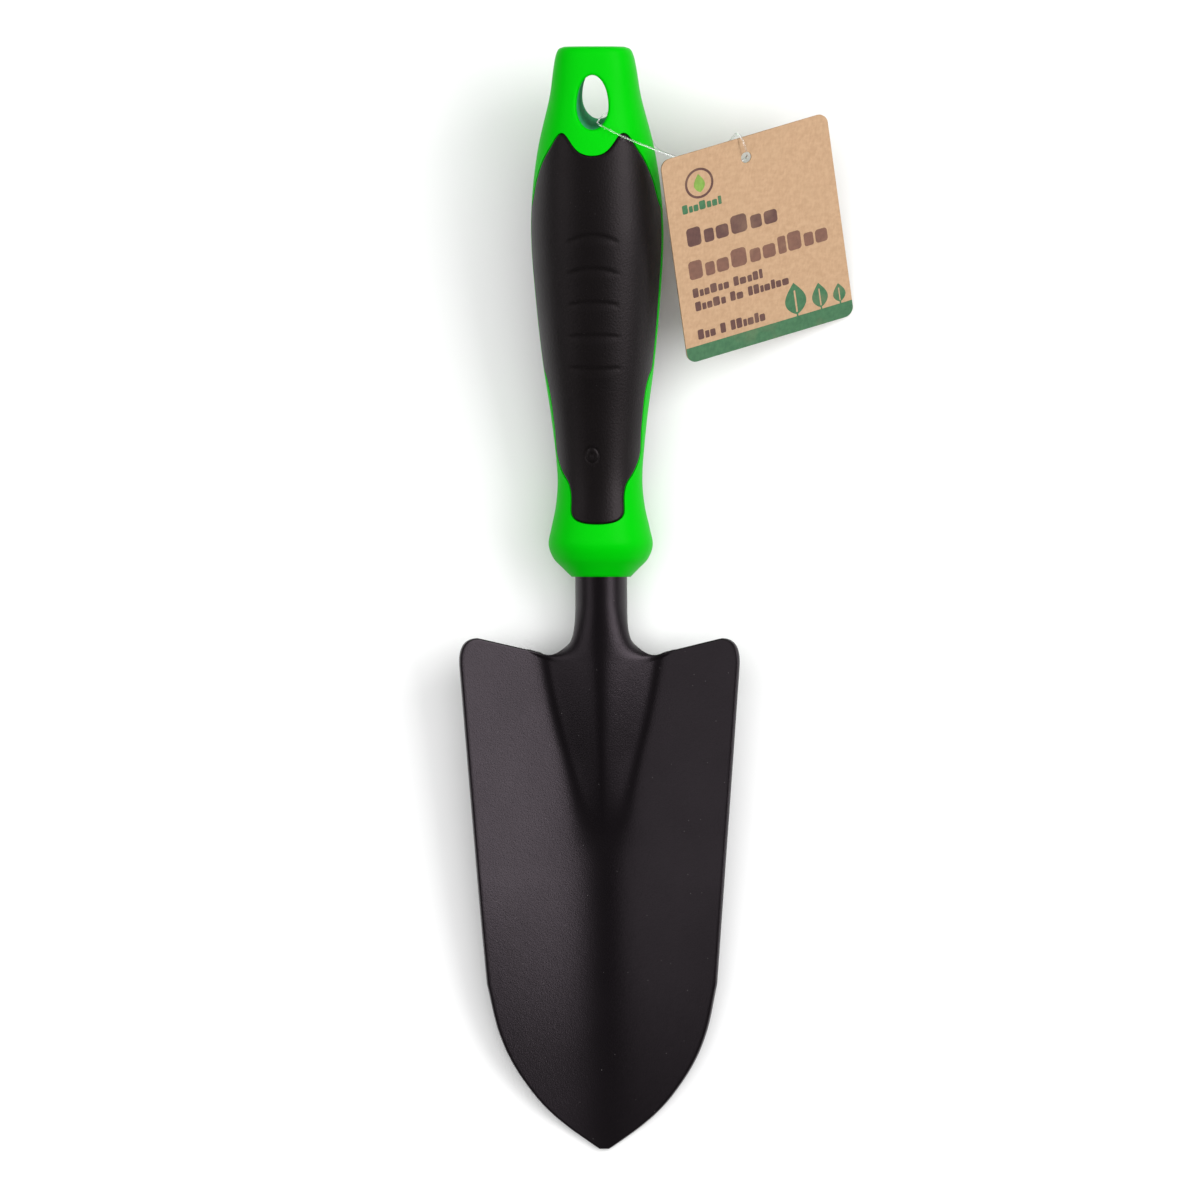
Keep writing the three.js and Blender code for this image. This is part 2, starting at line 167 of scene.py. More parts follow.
# ---- camera -------------------------------------------------------------------------------------
def make_camera():
    """Looks down on the lying trowel from far off, leaning a few degrees to its right."""
    lean = math.radians(4.5)
    distance = 8.0
    picture_width = 0.3322
    data = bpy.data.cameras.new("camera")
    data.sensor_width = 36
    data.lens = data.sensor_width * distance / picture_width
    data.clip_end = 30
    camera = bpy.data.objects.new("camera", data)
    bpy.context.scene.collection.objects.link(camera)
    towards = Vector((math.sin(lean), 0, math.cos(lean)))
    across = Vector((math.cos(lean), 0, -math.sin(lean)))
    turn = Matrix((across, Vector((0, 1, 0)), towards)).transposed()
    target = Vector((0.0001, -0.0003, 0.018))
    camera.matrix_world = Matrix.Translation(target + distance * towards) @ turn.to_4x4()
    bpy.context.scene.camera = camera
    bpy.context.scene.view_settings.view_transform = "Standard"


make_camera()


# ---- curves and meshes --------------------------------------------------------------------------
def through(points, per_span):
    """A centripetal Catmull-Rom curve through the points, the same curve as the frame's."""
    points = np.array(points, float)
    points = np.vstack([2 * points[0] - points[1], points, 2 * points[-1] - points[-2]])
    out = []
    for i in range(1, len(points) - 2):
        p = points[i - 1:i + 3]
        t = np.concatenate([[0], np.cumsum(np.linalg.norm(np.diff(p, axis=0), axis=1) ** 0.5)])
        at = np.linspace(t[1], t[2], per_span, endpoint=False)[:, None]
        a = [(t[k + 1] - at) / (t[k + 1] - t[k]) * p[k] + (at - t[k]) / (t[k + 1] - t[k]) * p[k + 1]
             for k in range(3)]
        b = [(t[k + 2] - at) / (t[k + 2] - t[k]) * a[k] + (at - t[k]) / (t[k + 2] - t[k]) * a[k + 1]
             for k in range(2)]
        out.append((t[2] - at) / (t[2] - t[1]) * b[0] + (at - t[1]) / (t[2] - t[1]) * b[1])
    return np.vstack(out + [points[-2][None]])


def bezier(points, count):
    """Points along a quadratic or cubic Bezier, its first point left out."""
    t = np.linspace(0, 1, count + 1)[1:, None]
    points = np.array(points, float)
    n = len(points) - 1
    return sum(math.comb(n, k) * t ** k * (1 - t) ** (n - k) * points[k] for k in range(n + 1))


def respace(points, spacing):
    """The same line with points at an even spacing, its two ends kept."""
    length = np.concatenate([[0], np.cumsum(np.linalg.norm(np.diff(points, axis=0), axis=1))])
    count = max(2, int(round(length[-1] / spacing)) + 1)
    at = np.linspace(0, length[-1], count)
    return np.stack([np.interp(at, length, points[:, k]) for k in range(points.shape[1])], axis=1)


def smooth_step(x, low, high):
    t = np.clip((x - low) / (high - low), 0, 1)
    return t * t * (3 - 2 * t)


def mesh_object(name, verts_mm, faces, material, node):
    """A smooth mesh that rides on the trowel and stands for a node."""
    mesh = bpy.data.meshes.new(name)
    mesh.from_pydata((np.array(verts_mm) * MM).tolist(), [], faces)
    mesh.validate()
    mesh.update()
    mesh.shade_smooth()
    mesh.materials.append(material)
    obj = bpy.data.objects.new(name, mesh)
    bpy.context.scene.collection.objects.link(obj)
    place(obj, "trowel", node)
    return obj


def place(obj, body, node):
    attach(obj, body)
    if node:
        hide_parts(node)


def add_rings(verts, faces, rings):
    """Adds closed rings of points, and the quads between each ring and the next."""
    start, size = len(verts), len(rings[0])
    for points in rings:
        verts += list(points)
    for j in range(len(rings) - 1):
        for k in range(size):
            a, b = start + j * size + k, start + j * size + (k + 1) % size
            faces.append((a, b, b + size, a + size))


def weld(obj, distance):
    bm = bmesh.new()
    bm.from_mesh(obj.data)
    bmesh.ops.remove_doubles(bm, verts=bm.verts, dist=distance)
    bmesh.ops.recalc_face_normals(bm, faces=bm.faces)
    bm.to_mesh(obj.data)
    bm.free()


def sharpen(obj, degrees):
    """Keeps shading crisp over edges that turn by more than the angle."""
    bm = bmesh.new()
    bm.from_mesh(obj.data)
    for edge in bm.edges:
        edge.smooth = len(edge.link_faces) != 2 or edge.calc_face_angle(0) < math.radians(degrees)
    bm.to_mesh(obj.data)
    bm.free()


# ---- materials ----------------------------------------------------------------------------------
class Nodes:
    """A material under construction: its node tree, and short ways to add and join nodes."""

    def __init__(self, name):
        self.material = bpy.data.materials.new(name)
        self.material.use_nodes = True
        self.tree = self.material.node_tree
        self.shader = self.tree.nodes["Principled BSDF"]
        self.position = self.tree.nodes.new("ShaderNodeTexCoord").outputs["Object"]

    def add(self, kind, values=None, **properties):
        node = self.tree.nodes.new(kind)
        for key, value in properties.items():
            setattr(node, key, value)
        for key, value in (values or {}).items():
            self.feed(node.inputs[key], value)
        return node

    def feed(self, socket, value):
        if isinstance(value, bpy.types.NodeSocket):
            self.tree.links.new(value, socket)
        else:
            socket.default_value = value

    def noise(self, scale, detail=3.0, stretch=(1, 1, 1)):
        mapping = self.add("ShaderNodeMapping", {"Vector": self.position, "Scale": stretch})
        values = {"Vector": mapping.outputs["Vector"], "Scale": scale, "Detail": detail}
        return self.add("ShaderNodeTexNoise", values).outputs["Fac"]

    def specks(self, scale, size):
        """1 in small round spots scattered at random, 0 elsewhere."""
        cells = self.add("ShaderNodeTexVoronoi", {"Vector": self.position, "Scale": scale, "Randomness": 1.0})
        return self.ramp(cells.outputs["Distance"], [(size * 0.5, (1, 1, 1, 1)), (size, (0, 0, 0, 1))])

    def ramp(self, value, stops):
        node = self.add("ShaderNodeValToRGB", {"Fac": value})
        ramp = node.color_ramp
        while len(ramp.elements) < len(stops):
            ramp.elements.new(0.5)
        for element, (at, color) in zip(ramp.elements, stops):
            element.position = at
            element.color = color
        return node.outputs["Color"]

    def mix(self, factor, a, b):
        node = self.add("ShaderNodeMix", data_type="RGBA")
        for socket, value in ((node.inputs[0], factor), (node.inputs[6], a), (node.inputs[7], b)):
            self.feed(socket, value)
        return node.outputs[2]

    def math(self, operation, a, b):
        node = self.add("ShaderNodeMath", {0: a, 1: b}, operation=operation)
        return node.outputs[0]

    def span(self, value, low, high):
        node = self.add("ShaderNodeMapRange", {"Value": value, "To Min": low, "To Max": high})
        return node.outputs["Result"]

    def bump(self, height, distance, strength=1.0, under=None):
        values = {"Height": height, "Distance": distance, "Strength": strength}
        if under is not None:
            values["Normal"] = under
        return self.add("ShaderNodeBump", values).outputs["Normal"]

    def set(self, **values):
        for key, value in values.items():
            self.feed(self.shader.inputs[key.replace("_", " ")], value)
        return self.material


def coated_steel():
    m = Nodes("coated_steel")
    grain = m.noise(2600, 2.0)
    ripple = m.noise(420, 3.0)
    cloud = m.noise(34, 4.0)
    base = m.mix(m.span(cloud, 0.2, 0.8), (0.0014, 0.0010, 0.0013, 1), (0.0026, 0.0020, 0.0024, 1))
    dust = m.specks(330, 0.05)
    color = m.mix(dust, base, (0.08, 0.075, 0.075, 1))
    rough = m.span(m.noise(60, 5.0), 0.31, 0.40)
    normal = m.bump(grain, 0.00012, 0.3, m.bump(ripple, 0.0002, 0.10))
    return m.set(Base_Color=color, Roughness=rough, Normal=normal, Metallic=0.0,
                 Specular_IOR_Level=0.36, Specular_Tint=(1.0, 0.84, 0.96, 1))


def green_plastic():
    m = Nodes("green_plastic")
    cloud = m.noise(28, 3.0)
    color = m.mix(cloud, (0.0, 0.46, 0.001, 1), (0.0, 0.52, 0.003, 1))
    rough = m.span(m.noise(180, 4.0), 0.36, 0.46)
    peel = m.noise(520, 2.0)
    fine = m.noise(3200, 2.0)
    normal = m.bump(fine, 0.00005, 0.25, m.bump(peel, 0.0002, 0.08))
    return m.set(Base_Color=color, Roughness=rough, Normal=normal, Specular_IOR_Level=0.04)


def green_bore_painted_shade():
    """The rougher as-moulded wall inside the hanging hole, in a darker, bluer green that is painted shade."""
    m = Nodes("green_bore_painted_shade")
    streaks = m.noise(900, 3.0, stretch=(1, 1, 0.15))
    # the wall's darker, bluer copy of the green is painted shade inside the hole
    color = m.mix(streaks, (0.02, 0.27, 0.10, 1), (0.06, 0.42, 0.19, 1))
    normal = m.bump(streaks, 0.00015, 0.5)
    rough = m.span(streaks, 0.75, 0.95)
    return m.set(Base_Color=color, Roughness=rough, Normal=normal, Specular_IOR_Level=0.05)


def soft_grip():
    m = Nodes("soft_grip")
    cloud = m.noise(40, 4.0)
    base = m.mix(cloud, (0.0016, 0.0012, 0.0012, 1), (0.0030, 0.0023, 0.0023, 1))
    lint = m.specks(460, 0.045)
    color = m.mix(lint, base, (0.05, 0.045, 0.045, 1))
    rough = m.span(m.noise(90, 4.0), 0.40, 0.50)
    stipple = m.noise(1700, 2.0)
    normal = m.bump(stipple, 0.00014, 0.4, m.bump(m.noise(260, 2.0), 0.0002, 0.08))
    return m.set(Base_Color=color, Roughness=rough, Normal=normal,
                 Specular_IOR_Level=0.29, Specular_Tint=(1.0, 0.87, 0.92, 1))


def paper_fibres(m):
    long_ones = m.noise(900, 4.0, stretch=(0.25, 1, 1))
    short_ones = m.noise(1500, 3.0, stretch=(1, 0.4, 1))
    return m.math("ADD", m.math("MULTIPLY", long_ones, 0.5), m.math("MULTIPLY", short_ones, 0.5))


def printed_card(name, light, dark, wear):
    """Kraft card, or an ink on it: fibres show through by as much as the ink is worn."""
    m = Nodes(name)
    fibres = paper_fibres(m)
    blotch = m.noise(110, 4.0)
    base = m.mix(m.ramp(fibres, [(0.38, (0, 0, 0, 1)), (0.62, (1, 1, 1, 1))]), dark, light)
    thin = m.ramp(blotch, [(0.52, (0, 0, 0, 1)), (0.72, (wear, wear, wear, 1))])
    color = m.mix(thin, base, KRAFT)
    rough = m.span(fibres, 0.72, 0.9)
    normal = m.bump(fibres, 0.0001, 0.5)
    return m.set(Base_Color=color, Roughness=rough, Normal=normal)


def clear_nylon():
    m = Nodes("clear_filament")
    streak = m.noise(700, 2.0)
    color = m.mix(streak, (0.93, 0.94, 0.94, 1), (0.98, 0.98, 0.98, 1))
    return m.set(Base_Color=color, Roughness=m.span(streak, 0.03, 0.10), Transmission_Weight=0.93, IOR=1.42)


def studio_floor():
    m = Nodes("studio_floor")
    color = m.mix(m.noise(3, 2.0), (0.86, 0.86, 0.86, 1), (0.88, 0.88, 0.88, 1))
    return m.set(Base_Color=color, Roughness=0.8)


STEEL = coated_steel()
GREEN = green_plastic()
SHADED_BORE = green_bore_painted_shade()
RUBBER = soft_grip()
CARD = printed_card("kraft_card", (0.48, 0.31, 0.185, 1), (0.41, 0.255, 0.145, 1), 0.25)
BAND_INK = printed_card("green_ink", (0.055, 0.155, 0.072, 1), (0.038, 0.12, 0.055, 1), 0.16)
DARK_INK = printed_card("brown_ink", (0.115, 0.055, 0.046, 1), (0.088, 0.042, 0.036, 1), 0.18)
LIGHT_INK = printed_card("light_brown_ink", (0.19, 0.092, 0.064, 1), (0.15, 0.074, 0.052, 1), 0.22)
LEAF_INK = printed_card("leaf_ink", (0.20, 0.35, 0.06, 1), (0.15, 0.28, 0.045, 1), 0.12)
NYLON = clear_nylon()


# ---- tag loop, the only cord --------------------------------------------------------------------
def tag_loop(lock):
    low, high = (np.array(c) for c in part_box("tag_loop"))
    path = np.clip(through(LOOP_ROUTE, 8), low + FILAMENT_R, high - FILAMENT_R)
    data = bpy.data.curves.new("tag_loop_clear", "CURVE")
    data.dimensions = "3D"
    data.bevel_depth = FILAMENT_R
    data.bevel_resolution = 3
    data.use_fill_caps = True
    spline = data.splines.new("POLY")
    spline.points.add(len(path) - 1)
    for point, at in zip(spline.points, path):
        point.co = (*at, 1)
    data.materials.append(NYLON)
    loop = bpy.data.objects.new("tag_loop_clear", data)
    bpy.context.scene.collection.objects.link(loop)
    place(loop, "trowel", "tag_loop")


def loop_lock(sides=40):
    """The lock's head, a body of revolution about the X axis."""
    low, high = (np.array(c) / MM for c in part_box("loop_lock"))
    centre = (low + high) / 2
    half = (high[0] - low[0]) / 2
    r = (high[2] - low[2]) / 2
    profile = [(0.35, -half), (0.7 * r, -half), (0.9 * r, -half + 0.2), (r, -half + 0.55), (r, -half + 1.3),
               (0.78 * r, -half + 1.55), (0.78 * r, -half + 1.95), (r, -half + 2.2), (r, half - 1.6),
               (0.94 * r, half - 1.2), (0.62 * r, half - 0.25), (0.5 * r, half), (0.35, half)]
    angles = [2 * math.pi * k / sides for k in range(sides)]
    rings = [[(centre[0] + x, centre[1] + radius * math.cos(a), centre[2] + radius * math.sin(a))
              for a in angles] for radius, x in profile]
    verts, faces = [], []
    add_rings(verts, faces, rings)
    faces.append(tuple(range(sides)))
    faces.append(tuple(range(len(verts) - sides, len(verts)))[::-1])
    lock = mesh_object("loop_lock_head", verts, faces, NYLON, "loop_lock")
    weld(lock, 1e-7)
    sharpen(lock, 40)
    return lock


tag_loop(loop_lock())


# ---- blade --------------------------------------------------------------------------------------
def axis_height(distance):
    """Height of the middle of the neck and the handle."""
    return NECK_Z + RISE * (distance - HANDLE_AT)


def spine_height(distance):
    """Height of the middle of the trough: a bow that touches the floor, then a straight rise."""
    curved = np.minimum(distance, SPINE_STRAIGHT_FROM) - SPINE_TOUCHES_AT
    bend = TROUGH_RISE / (2 * (SPINE_STRAIGHT_FROM - SPINE_TOUCHES_AT))
    return SHEET + bend * curved ** 2 + TROUGH_RISE * np.maximum(0, distance - SPINE_STRAIGHT_FROM)


def crest_height(distance):
    """How far the ridge's crest is over the spine; it is under it before the ridge starts."""
    span = NOTCH_AT - RIDGE_START
    t = (distance - RIDGE_START) / span
    end_rise = (RISE - TROUGH_RISE) * span
    top = axis_height(NOTCH_AT) + TUBE_R - spine_height(NOTCH_AT)
    curve = ((t ** 3 - 2 * t ** 2 + t) * CREST_START_RISE + (3 * t ** 2 - 2 * t ** 3) * top
             + (t ** 3 - t ** 2) * end_rise)
    return np.where(t < 0, CREST_START_RISE * t, curve)


def blade_height(x, distance):
    """Height of the sheet's upper face: the higher of trough and ridge, with a rounded valley."""
    spine = spine_height(distance)
    slope = NOSE_SLOPE + (TROUGH_SLOPE - NOSE_SLOPE) * smooth_step(distance, 0, FULL_SLOPE_AT)
    trough = spine + slope * (np.hypot(x, TROUGH_ROUND) - TROUGH_ROUND)
    t = np.clip((distance - RIDGE_START) / (NOTCH_AT - RIDGE_START), 0, 1)
    flank = RIDGE_FLANK * (1 - (1 - np.minimum(1, 2 * t)) ** 2)
    crest_round = CREST_ROUND + CREST_ROUND_GAIN * t * t
    ridge = spine + crest_height(distance) - flank * (np.hypot(x, crest_round) - crest_round)
    return trough + VALLEY_ROUND * np.logaddexp(0, (ridge - trough) / VALLEY_ROUND)


def inset_line(points):
    """An open line moved to its left by the rounding of the sheet's edge."""
    along = np.gradient(points, axis=0)
    along /= np.linalg.norm(along, axis=1, keepdims=True)
    return points + EDGE_ROUND * np.stack([-along[:, 1], along[:, 0]], axis=1)


def blade_outline():
    """Right half of the flat of the blade: how many points are nose and side, and all its points."""
    nose_end = (NOSE_HALF_WIDTH, NOSE_LENGTH)
    corner_start = (BLADE_HALF_WIDTH, SHOULDER_AT - SHOULDER_CORNER)
    nose = through([(1.4, 0), (5.2, 2.7), (9.5, 5.8), (14.7, 10.2), (18.8, 14.7), (24.8, 23.5), (28.6, 32.4),
                    nose_end], 12)
    side = np.vstack([respace(nose, 1.2), respace(np.array([nose_end, SIDE_TOP]), 0.8)[1:]])
    corner = bezier([corner_start, (BLADE_HALF_WIDTH + 0.6, SHOULDER_AT),
                     (SHOULDER_HALF_WIDTH, SHOULDER_AT)], 24)
    notch = bezier([NOTCH_CORNER, (15.6, NOTCH_AT), (NOTCH_HALF_WIDTH, NOTCH_AT)], 10)
    shoulder = respace(np.vstack([[SIDE_TOP, corner_start], corner, [NOTCH_CORNER], notch]), 0.7)[1:]
    return len(side), inset_line(np.vstack([side, shoulder]))


def sheet_rows():
    """Points on the sheet's upper face, row by row from the tip to the end of the tang."""
    k = np.linspace(-1, 1, 2 * SHEET_COLUMNS + 1)
    across = np.sign(k) * np.abs(k) ** 1.1
    side, outline = blade_outline()
    rows = []
    for i, edge in enumerate(outline):
        rising = max(0, i - side + 1) / (len(outline) - side)
        middle = edge[1] if i < side else outline[side - 1, 1] * (1 - rising) + outline[-1, 1] * rising
        distance = middle + (edge[1] - middle) * np.abs(across) ** 2.5
        x = edge[0] * across
        rows.append(np.stack([x, TIP_Y + distance, blade_height(x, distance)], axis=1))
    notch, start = len(rows) - 1, outline[-1, 1]
    turn = (TUBE_TURN - EDGE_ROUND / TUBE_R) * across
    rolling = np.linspace(0, 1, 31)[1:] ** 1.1
    for step in [*rolling, *STRAIGHT_STEPS]:
        distance = start + (TUBE_ROLLED_AT - start) * step
        narrowed, curled = min(1, step) ** 0.72, min(1, step) ** 1.7
        x = rows[notch][:, 0] * (1 - narrowed) + TUBE_R * np.sin(turn) * narrowed
        z = (rows[notch][:, 2] - axis_height(start)) * (1 - curled) + TUBE_R * np.cos(turn) * curled
        rows.append(np.stack([x, np.full_like(x, TIP_Y + distance), axis_height(distance) + z], axis=1))
    rows = np.array(rows)
    for _ in range(SMOOTH_PASSES):
        near = rows[notch - SMOOTH_REACH:notch + SMOOTH_REACH + 1]
        near[1:-1] = (near[:-2] + 2 * near[1:-1] + near[2:]) / 4
    return rows


def grid_normals(points):
    """Unit normals of a grid of points, averaged over the faces that meet at each."""
    face = np.cross(points[1:, 1:] - points[:-1, :-1], points[1:, :-1] - points[:-1, 1:])
    total = np.zeros_like(points)
    for rows in (slice(None, -1), slice(1, None)):
        for columns in (slice(None, -1), slice(1, None)):
            total[rows, columns] += face
    return total / np.linalg.norm(total, axis=2, keepdims=True)


def around(grid):
    """The border of a grid, as one loop anticlockwise from above."""
    return np.concatenate([grid[0], grid[1:, -1], grid[-1, -2::-1], grid[-2:0:-1, 0]])


def make_blade():
    """The sheet: upper face, lower face, and a rounded edge all the way round."""
    top = sheet_rows()
    normal = grid_normals(top)
    under = top - SHEET * normal
    size = top.shape[0] * top.shape[1]
    number = np.arange(size).reshape(top.shape[:2])
    faces = []
    corners = np.stack([number[:-1, :-1], number[:-1, 1:], number[1:, 1:], number[1:, :-1]], axis=2)
    for a, b, c, d in corners.reshape(-1, 4).tolist():
        faces.append((a, b, c, d))
        faces.append((d + size, c + size, b + size, a + size))
    rim, up = around(top), around(normal)
    steps = np.roll(rim, -1, axis=0) - rim
    steps /= np.linalg.norm(steps, axis=1, keepdims=True)
    outward = np.cross(steps + np.roll(steps, 1, axis=0), up)
    outward /= np.linalg.norm(outward, axis=1, keepdims=True)
    verts = [top.reshape(-1, 3), under.reshape(-1, 3)]
    chain = [around(number)]
    start = 2 * size
    turns = [math.radians(a) for a in (22, 45, 68, 90)]
    drops = [(a, EDGE_ROUND * (1 - math.cos(a))) for a in turns]
    drops += [(a, SHEET - drop) for a, drop in reversed(drops)]
    for angle, drop in drops:
        verts.append(rim + EDGE_ROUND * math.sin(angle) * outward - drop * up)
        chain.append(start + np.arange(len(rim)))
        start += len(rim)
    chain.append(around(number) + size)
    for upper, lower in zip(chain, chain[1:]):
        for k in range(len(rim)):
            n = (k + 1) % len(rim)
            faces.append((int(upper[k]), int(lower[k]), int(lower[n]), int(upper[n])))
    verts = np.clip(np.vstack(verts), blade_low, blade_high)
    mesh_object("pressed_blade", verts, faces, STEEL, "blade")


make_blade()


# ---- handle surface -----------------------------------------------------------------------------
# s, half width and half depth; section() scales the widths to the CAD's
STATIONS = through([
    (0, 8.2, 8.2), (2.4, 10.6, 10.3), (5.2, 13.2, 12.7), (8.9, 14.5, 14.18), (13.5, 13.7, 13.3),
    (19.5, 12.4, 12.1), (27, 11.8, 11.6), (42, 13.1, 12.7), (60, 15.6, 14.9), (78, 17.4, 16.4),
    (95, 18.4, 17.1), (108, 17.7, 16.4), (119.6, 15.9, 14.5), (133, 12.6, 11.5), (141, 11.4, 10.2),
    (144.2, 10.7, 9.5), (145.8, 9.9, 8.7), (HANDLE_LENGTH, 8.4, 7.2)], 24)
UNROLL = 15.0   # millimetres across the unrolled handle for each radian round it


def section(s):
    """Half width, half depth, axis height and squareness of the handle at s from its bell end."""
    axis = axis_height(HANDLE_AT + s) + HANDLE_BEND * np.maximum(0, s - BEND_FROM) ** 2
    squareness = 2.1 + 0.5 * smooth_step(s, 100, 146)
    half_width = np.interp(s, STATIONS[:, 0], STATIONS[:, 1]) * core_high[0] / STATIONS[:, 1].max()
    return half_width, np.interp(s, STATIONS[:, 0], STATIONS[:, 2]), axis, squareness


def on_handle(flat, depth=0.0):
    """Points on the handle, depth below its surface, from (unrolled angle, s); angle 0 is the top."""
    angle, s = flat[:, 0] / UNROLL, flat[:, 1]
    w, t, axis, n = section(s)
    sine, cosine = np.sin(angle), np.cos(angle)
    x = (w - depth) * np.sign(sine) * np.abs(sine) ** (2 / n)
    z = axis + (t - depth) * np.sign(cosine) * np.abs(cosine) ** (2 / n)
    return np.stack([x, HANDLE_Y + s, np.clip(z, core_low[2], core_high[2])], axis=1)


def unrolled(points):
    """The inverse of on_handle, for points on the surface."""
    s = points[:, 1] - HANDLE_Y
    w, t, axis, n = section(s)
    x, z = points[:, 0] / w, (points[:, 2] - axis) / t
    angle = np.arctan2(np.sign(x) * np.abs(x) ** (n / 2), np.sign(z) * np.abs(z) ** (n / 2))
    return np.stack([angle * UNROLL, s], axis=1)


def plan_to_flat(points):
    """From x and s seen from above to the unrolled top half, held clear of the side strip."""
    x, s = points[:, 0], points[:, 1]
    w, t, _, n = section(s)
    limit = np.arccos((STRIP_HALF / t) ** (n / 2))
    reach = np.arcsin(np.clip(np.abs(x) / w, 0, 1) ** (n / 2))
    soft = 0.06   # radians over which the limit sets in
    kept = limit - soft * np.log1p(np.exp((limit - reach) / soft))
    kept = np.where(np.abs(x) < STRIP_CLEAR_FROM, reach, np.minimum(reach, kept))
    return np.stack([np.sign(x) * kept * UNROLL, s], axis=1)


def panel_outline(inset=0.0):
    """Closed outline of a soft panel in the unrolled handle, centred on angle 0."""
    right = [(7.6, 18.2), (7.6, 22.8), (8.2, 25.6), (10.2, 29.2), (11.6, 33.6), (12.3, 42), (14.6, 56),
             (20, 66), (20, 97), (17.7, 103.5), (16.2, 110), (14.2, 115.2), (11.4, 119.8)]
    start, lip = (0, PANEL_TAIL), (7.2, 121.6)
    tail = bezier([start, (4.4, PANEL_TAIL), (7.6, 15.4), right[0]], 16)
    side = through(right, 10)[1:]
    peak = bezier([right[-1], (9.1, PANEL_PEAK + 1.4), lip], 14)
    bay = bezier([lip, (5.4, 119.4), (4.6, PANEL_BAY), (0, PANEL_BAY)], 20)
    half = respace(plan_to_flat(np.vstack([[start], tail, side, peak, bay])), 0.6)
    loop = np.vstack([half, (half * (-1, 1))[-2:0:-1]])
    return shrink(loop, inset) if inset else loop


def shrink(loop, inset):
    """A closed loop moved inwards, at the handle's true scale across the unrolled surface."""
    ahead, behind = np.roll(loop, -1, axis=0), np.roll(loop, 1, axis=0)
    along = ahead - behind
    along /= np.linalg.norm(along, axis=1, keepdims=True)
    area = np.sum(loop[:, 0] * ahead[:, 1] - loop[:, 1] * ahead[:, 0])
    inward = np.stack([-along[:, 1], along[:, 0]], axis=1) * np.sign(area)
    return loop + inset * inward


def inside(loop, points):
    """Which points lie inside a closed loop."""
    x, y = points[:, 0][:, None], points[:, 1][:, None]
    ax, ay = loop[:, 0], loop[:, 1]
    bx, by = np.roll(ax, -1), np.roll(ay, -1)
    crosses = ((ay > y) != (by > y)) & (x < (bx - ax) * (y - ay) / (by - ay + 1e-12) + ax)
    return crosses.sum(axis=1) % 2 == 1


def distance_to(loop, points):
    """Shortest distance from each point to a closed loop."""
    a, b = loop, np.roll(loop, -1, axis=0)
    along = b - a
    best = np.full(len(points), 1e9)
    chunk = 2000   # points at a time, to spare memory
    for start in range(0, len(points), chunk):
        p = points[start:start + chunk, None, :]
        t = np.clip(np.sum((p - a) * along, axis=2) / np.sum(along * along, axis=1), 0, 1)
        gap = np.linalg.norm(p - (a + t[..., None] * along), axis=2)
        best[start:start + chunk] = gap.min(axis=1)
    return best


def triangulate(loops, grid, clearance):
    """Triangles over closed loops and the grid points that keep clear of them."""
    for loop in loops:
        grid = grid[distance_to(loop, grid) > clearance]
    points = np.vstack(loops + [grid])
    edges, start = [], 0
    for loop in loops:
        count = len(loop)
        edges += [(start + k, start + (k + 1) % count) for k in range(count)]
        start += count
    result = delaunay_2d_cdt([Vector(p) for p in points], edges, [], 0, 1e-5)
    return np.array([tuple(v) for v in result[0]]), np.array(result[2])


# ---- soft grip panels ---------------------------------------------------------------------------
def groove_depth(flat):
    """Depth of the finger grooves: shallow lenses that end in a steeper wall towards the butt."""
    x, s = on_handle(flat)[:, 0], flat[:, 1]
    depth = np.zeros(len(flat))
    for i in range(GROOVES):
        bow = GROOVE_BOW - GROOVE_BOW_STEP * i
        reach = np.clip(1 - (x / GROOVE_HALF[0]) ** 2, 0, 1)
        middle = GROOVE_FIRST - i * GROOVE_PITCH + bow * (reach - 0.5)
        half = GROOVE_HALF[1] * reach ** 0.6 + 1e-6
        across = (s - middle) / half
        ramp = np.clip(0.5 + 0.5 * across, 0, 1) ** 1.3
        depth += GROOVE_DEPTH * ramp * (1 - smooth_step(across, 0.4, 1.0)) * reach ** 0.3
    return depth


def ring(centre, radius, count):
    angle = np.linspace(0, 2 * math.pi, count, endpoint=False)
    return np.stack([centre[0] + radius * np.cos(angle), centre[1] + radius * np.sin(angle)], axis=1)


def make_panel(name, node, turned_by, grooves):
    """A soft panel with a rolled edge, turned round the handle by an angle, plain or with its marks."""
    edge = panel_outline(PANEL_GAP)
    loops = [edge] + [shrink(edge, step) for step in (0.16, 0.36, 0.7, 1.2)]
    if grooves:
        loops += [ring(MARK_AT, radius, 40) for radius in MARK_LOOPS]
    low, high = edge.min(axis=0), edge.max(axis=0)
    columns = np.arange(low[0], high[0], 0.85)
    rows = np.arange(low[1], high[1], 0.45 if grooves else 0.9)
    grid = np.array([(c + 0.4 * (k % 2), s) for k, s in enumerate(rows) for c in columns])
    grid = grid[inside(edge, grid)]
    flat, triangles = triangulate(loops, grid, 0.33)
    triangles = triangles[inside(edge, flat[triangles].mean(axis=1))].tolist()
    depth = PANEL_EDGE_DROP * np.clip(1 - distance_to(edge, flat) / PANEL_EDGE_WIDTH, 0, 1) ** 2.2
    if grooves:
        from_mark = np.linalg.norm(flat - MARK_AT, axis=1)
        depth += groove_depth(flat)
        depth += 0.16 * (np.abs(from_mark - MARK_R) < 0.12) + 0.12 * (from_mark < 0.4)
    turn = np.array([turned_by * UNROLL, 0])
    verts = np.vstack([on_handle(flat + turn, depth), on_handle(flat + turn, PANEL_UNDERSIDE)])
    count = len(flat)
    faces = [tuple(t) for t in triangles]
    faces += [tuple(n + count for n in t[::-1]) for t in triangles]
    edges = [pair for t in triangles for pair in ((t[0], t[1]), (t[1], t[2]), (t[2], t[0]))]
    known = set(edges)
    faces += [(b, a, a + count, b + count) for a, b in edges if (b, a) not in known]
    panel = mesh_object(name, verts, faces, RUBBER, node)
    weld(panel, 1e-8)
    sharpen(panel, 60)


